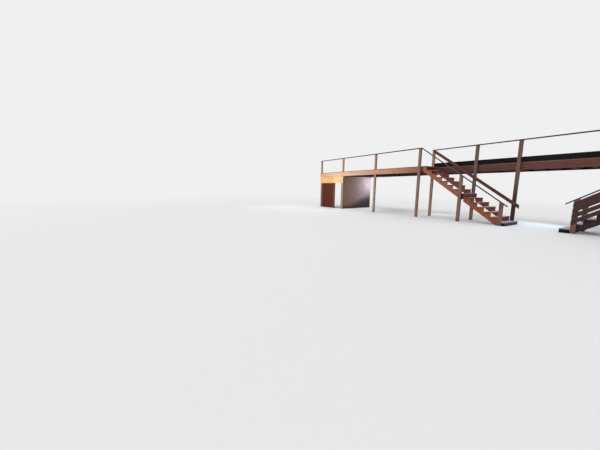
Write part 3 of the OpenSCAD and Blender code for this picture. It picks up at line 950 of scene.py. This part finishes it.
def bolt_head():
    """A hexagon head on a round washer."""
    washer_radius, washer_thickness = 0.02, 0.003
    head_radius, head_height = 0.0125, 0.009
    bpy.ops.mesh.primitive_cylinder_add(vertices=24, radius=washer_radius, depth=washer_thickness,
                                        location=(0, 0, washer_thickness / 2))
    washer = eased(bpy.context.object, 0.0006, 1)
    bpy.ops.mesh.primitive_cylinder_add(vertices=6, radius=head_radius, depth=head_height,
                                        location=(0, 0, washer_thickness + head_height / 2))
    head = eased(bpy.context.object, 0.001, 2)
    bolt = joined([washer, head], "bolt")
    bpy.ops.object.shade_smooth_by_angle(angle=math.radians(30))
    return bolt


def set_in(template, places, name, material):
    """Copies of a fixing at each place; a place is a point and the way its head faces."""
    copies = []
    for point, way in places:
        one = twin(template, "copy")
        turn = Vector(UP).rotation_difference(Vector(way)).to_matrix().to_4x4()
        one.matrix_world = Matrix.Translation(point) @ turn
        copies.append(one)
    return fit(joined(copies, name), material)


def middle_of(low, high):
    return (low.x + high.x) / 2, (low.y + high.y) / 2


def spaced(low, high, inset, pitch):
    """Even steps between two ends, set in from both, about a pitch apart."""
    count = max(1, round((high - low - 2 * inset) / pitch))
    return [low + inset + k * (high - low - 2 * inset) / count for k in range(count + 1)]


def tread_nails():
    """Two nails through a tread or step plank into what carries each of its ends."""
    places = []
    for node, from_end in (("far_stair_treads", 0.05), ("near_stair_treads", 0.05),
                           ("bottom_step_planks", 0.019)):
        for low, high in plank_boxes(node):
            from_side = 0.2 * (high.x - low.x)
            for x in (low.x + from_side, high.x - from_side):
                places += [((x, y, high.z), UP) for y in (low.y + from_end, high.y - from_end)]
    return places


def joist_nails():
    """Three nails through a beam into the end of each joist, but not behind a post."""
    posts = plank_boxes("set_back_posts", "front_posts_far", "front_posts_near")
    close = 0.01
    above_the_edge = (0.05, 0.14, 0.23)
    places = []
    for beam, joists in (("front_beam_far", "joists_far"), ("set_back_beam", "joists_middle"),
                         ("front_beam_near", "joists_near")):
        low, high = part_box(beam)
        for x in joist_lines(joists):
            covered = any(a.x - close < x < b.x + close and abs(b.y - low.y) < close for a, b in posts)
            if low.x + close < x < high.x - close and not covered:
                places += [((x, low.y, low.z + up), OUT) for up in above_the_edge]
    return places


def rail_nails():
    """Two nails through a guard rail into the top of each post."""
    posts = plank_boxes("front_posts_far", "front_posts_near", "set_back_posts", "end_guard_post")
    places = []
    for node in ("guard_rail_far", "guard_rail_set_back", "guard_rail_near"):
        low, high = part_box(node)
        for x, y in (middle_of(*post) for post in posts):
            if low.x < x < high.x and low.y < y < high.y:
                places += [((x + aside, y, high.z), UP) for aside in (-0.025, 0.025)]
    return places


def at_end(points, x):
    """Lowest and highest point of a sloped board at one of its ends."""
    heights = [p.z for p in points if abs(p.x - x) < 0.001]
    return min(heights), max(heights)


def sloped_board_nails():
    """Two nails through each sloped board into every post it crosses."""
    posts = plank_boxes("newel_posts", "mid_stair_posts", "set_back_posts", "front_posts_far",
                        "front_posts_near")
    least_lap, close = 0.02, 0.005
    places = []
    for node in ("near_stair_guard_boards", "far_stair_back_handrail", "near_stair_back_handrail"):
        for points in plank_points(node):
            low, high = corners(points)
            under_low, over_low = at_end(points, low.x)
            under_high, over_high = at_end(points, high.x)
            slope = (under_high - under_low) / (high.x - low.x)
            depth = min(over_low - under_low, over_high - under_high)
            for a, b in posts:
                first, last = max(low.x, a.x), min(high.x, b.x)
                if last - first > least_lap and abs(a.y - high.y) < close:
                    x = (first + last) / 2
                    under = under_low + slope * (x - low.x)
                    places += [((x, low.y, under + share * depth), OUT) for share in (0.25, 0.75)]
    return places


def handrail_nails():
    """Two nails down through the front handrails into the sloped tops of their posts."""
    posts = plank_boxes("newel_posts", "mid_stair_posts")
    places = []
    for node in ("far_stair_front_handrail", "near_stair_front_handrail"):
        for points in plank_points(node):
            low, high = corners(points)
            top_low, top_high = at_end(points, low.x)[1], at_end(points, high.x)[1]
            slope = (top_high - top_low) / (high.x - low.x)
            for x, y in (middle_of(*post) for post in posts):
                if low.x < x < high.x and low.y < y < high.y:
                    top = top_low + slope * (x - low.x)
                    places += [((x, y + aside, top), (-slope, 0, 1)) for aside in (-0.02, 0.02)]
    return places


def sheet_nails():
    """Nails along the plywood's upper and lower edges, down the batten and over the studs."""
    from_edge, clear = 0.02, 0.01
    places = []
    for low, high in plank_boxes("store_header", "store_front_sheets"):
        for x in spaced(low.x, high.x, inset=0.06, pitch=0.25):
            places += [((x, low.y, z), OUT) for z in (low.z + from_edge, high.z - from_edge)]
    for low, high in plank_boxes("store_batten"):
        x = middle_of(low, high)[0]
        places += [((x, low.y, z), OUT) for z in spaced(low.z, high.z, inset=0.08, pitch=0.3)]
    studs = [middle_of(*stud)[1] for stud in plank_boxes("store_side_frame")]
    for low, high in plank_boxes("store_side_sheet"):
        for y in studs:
            if low.y + clear < y < high.y - clear:
                heights = spaced(low.z, high.z, inset=0.06, pitch=0.3)
                places += [((high.x, y, z), ASIDE) for z in heights]
    return places


def beam_bolts():
    """Two bolts where each post meets its beam: on the beam's face at the front
    posts, which stand behind it, and on the post's face at the set-back ones."""
    aside, lower, upper = 0.03, 2.5, 2.63
    places = []
    for low, high in plank_boxes("front_posts_far", "front_posts_near", "set_back_posts"):
        face = FRONT if low.y < BACK_ROW else low.y
        x = middle_of(low, high)[0]
        places += [((x - aside, face, lower), OUT), ((x + aside, face, upper), OUT)]
    return places


def fixings(deck_nails):
    """Sets in every nail and bolt, and takes the two templates away."""
    nail, bolt = nail_head(), bolt_head()
    nails = {
        "deck_nails": [(point, UP) for point in deck_nails],
        "tread_nails": tread_nails(),
        "joist_nails": joist_nails(),
        "rail_nails": rail_nails(),
        "sloped_board_nails": sloped_board_nails(),
        "handrail_nails": handrail_nails(),
        "sheet_nails": sheet_nails(),
    }
    for name, places in nails.items():
        set_in(nail, places, name, NAIL_STEEL)
    set_in(bolt, beam_bolts(), "beam_bolts", ZINC)
    bpy.data.objects.remove(nail)
    bpy.data.objects.remove(bolt)


dress_all()
deck_nails = []
for stretch in ("far", "middle", "near"):
    deck_nails += lay_deck("deck_" + stretch, "joists_" + stretch)
fixings(deck_nails)


# Floor, light and camera

def seen_directly(tree):
    """Rays from the camera, from gloss and through glass, which see the pale backdrop."""
    rays = add(tree, "ShaderNodeLightPath").outputs
    shiny = larger(tree, rays["Is Glossy Ray"], rays["Is Transmission Ray"])
    return larger(tree, rays["Is Camera Ray"], shiny)


def pale_floor():
    """A floor that fades into the backdrop: a plain pale tone to the camera, and darker
    to the light that it throws back."""
    bpy.ops.mesh.primitive_plane_add(size=400, location=(0, 0, 0))
    floor = bpy.context.object
    floor.name = "floor"
    material, tree, shader = new_material("Pale floor")
    feed(tree, shader.inputs["Roughness"], 0.9)
    thrown_back = (0.42, 0.42, 0.43, 1)
    feed(tree, shader.inputs["Base Color"], mix(tree, seen_directly(tree), thrown_back, FLOOR_TONE))
    glow = add(tree, "ShaderNodeEmission")
    feed(tree, glow.inputs["Color"], FLOOR_TONE)
    from_middle = calculate_vector(tree, "LENGTH", place_in_part(tree))["Value"]
    plain_to, faded_at = 13.0, 42.0
    blend = add(tree, "ShaderNodeMixShader")
    feed(tree, blend.inputs[0], remap(tree, from_middle, plain_to, faded_at))
    feed(tree, blend.inputs[1], shader.outputs[0])
    feed(tree, blend.inputs[2], glow.outputs[0])
    feed(tree, tree.nodes["Material Output"].inputs[0], blend.outputs[0])
    floor.data.materials.append(material)


def studio_world():
    """Soft light all round, strongest from the far end, the front and above."""
    world = bpy.data.worlds.new("Studio")
    bpy.context.scene.world = world
    world.use_nodes = True
    tree = world.node_tree
    back = tree.nodes["Background"]
    way = add(tree, "ShaderNodeTexCoord").outputs["Generated"]
    brightest = Vector((-0.62, -0.55, 0.56)).normalized()
    towards = calculate_vector(tree, "DOT_PRODUCT", way, brightest)["Value"]
    soft = remap(tree, towards, -0.9, 0.9, 0.3, 1.15)
    feed(tree, back.inputs["Strength"], mix_value(tree, seen_directly(tree), soft, FLOOR_TONE[0]))
    feed(tree, back.inputs["Color"], (1.0, 1.0, 1.0, 1))


def soft_lamp(name, place, aim, width, height, power, tint=(1.0, 1.0, 1.0), spread=180.0):
    """A soft box that the camera doesn't see, with a grid that narrows its spread."""
    light = bpy.data.lights.new(name, "AREA")
    light.shape = "RECTANGLE"
    light.size, light.size_y = width, height
    light.energy = power
    light.color = tint
    light.spread = math.radians(spread)
    lamp = into_scene(bpy.data.objects.new(name, light))
    lamp.location = place
    lamp.rotation_euler = (Vector(aim) - Vector(place)).to_track_quat("-Z", "Y").to_euler()
    lamp.visible_camera = lamp.visible_glossy = False


def studio_lamps():
    """A warm key beyond the far end, and daylight from three low places behind the
    deck: beside the store room, under the far stair and between the stairs."""
    soft_lamp("far_key", (FAR - 6.0, FRONT - 8.0, 3.4), (FAR + 3.0, FRONT, 2.4),
              5.0, 3.0, 102, tint=(1.0, 0.93, 0.84), spread=50.0)
    soft_lamp("by_the_store", (FAR + 3.55, BACK + 0.12, 1.95), (FAR + 2.75, FRONT, 1.7),
              1.0, 0.9, 62, tint=(0.92, 0.95, 1.0))
    soft_lamp("under_the_stair", (FAR + 8.6, BACK + 0.15, 1.6), (FAR + 9.2, FRONT, 0.9),
              2.0, 1.1, 26)
    soft_lamp("between_stairs", (FAR + 14.3, BACK + 0.2, 1.75), (FAR + 12.7, FRONT, 0.4),
              2.2, 1.0, 38, tint=(0.72, 0.85, 1.0), spread=120.0)


def camera():
    """The photo's eye: where it stands, its heading, tilt and roll, and its focal length
    in the photo's pixels."""
    stand = (FAR + 17.72, FRONT - 13.146, 1.5)
    yaw, pitch, roll = (math.radians(v) for v in (32.279, 8.029, 0.691))
    focal_pixels, photo_width, sensor_width = 261.03, 600, 36
    ahead = Vector((-math.cos(yaw) * math.cos(pitch), math.sin(yaw) * math.cos(pitch), -math.sin(pitch)))
    right = Vector((math.sin(yaw), math.cos(yaw), 0))
    up = right.cross(ahead)
    side = math.cos(roll) * right + math.sin(roll) * up
    top = -math.sin(roll) * right + math.cos(roll) * up
    lens = bpy.data.cameras.new("eye")
    lens.sensor_width = sensor_width
    lens.lens = focal_pixels / photo_width * sensor_width
    eye = into_scene(bpy.data.objects.new("eye", lens))
    turn = Matrix((side, top, -ahead)).transposed().to_4x4()
    eye.matrix_world = Matrix.Translation(stand) @ turn
    bpy.context.scene.camera = eye


pale_floor()
studio_world()
studio_lamps()
camera()
bpy.context.scene.view_settings.view_transform = "Standard"
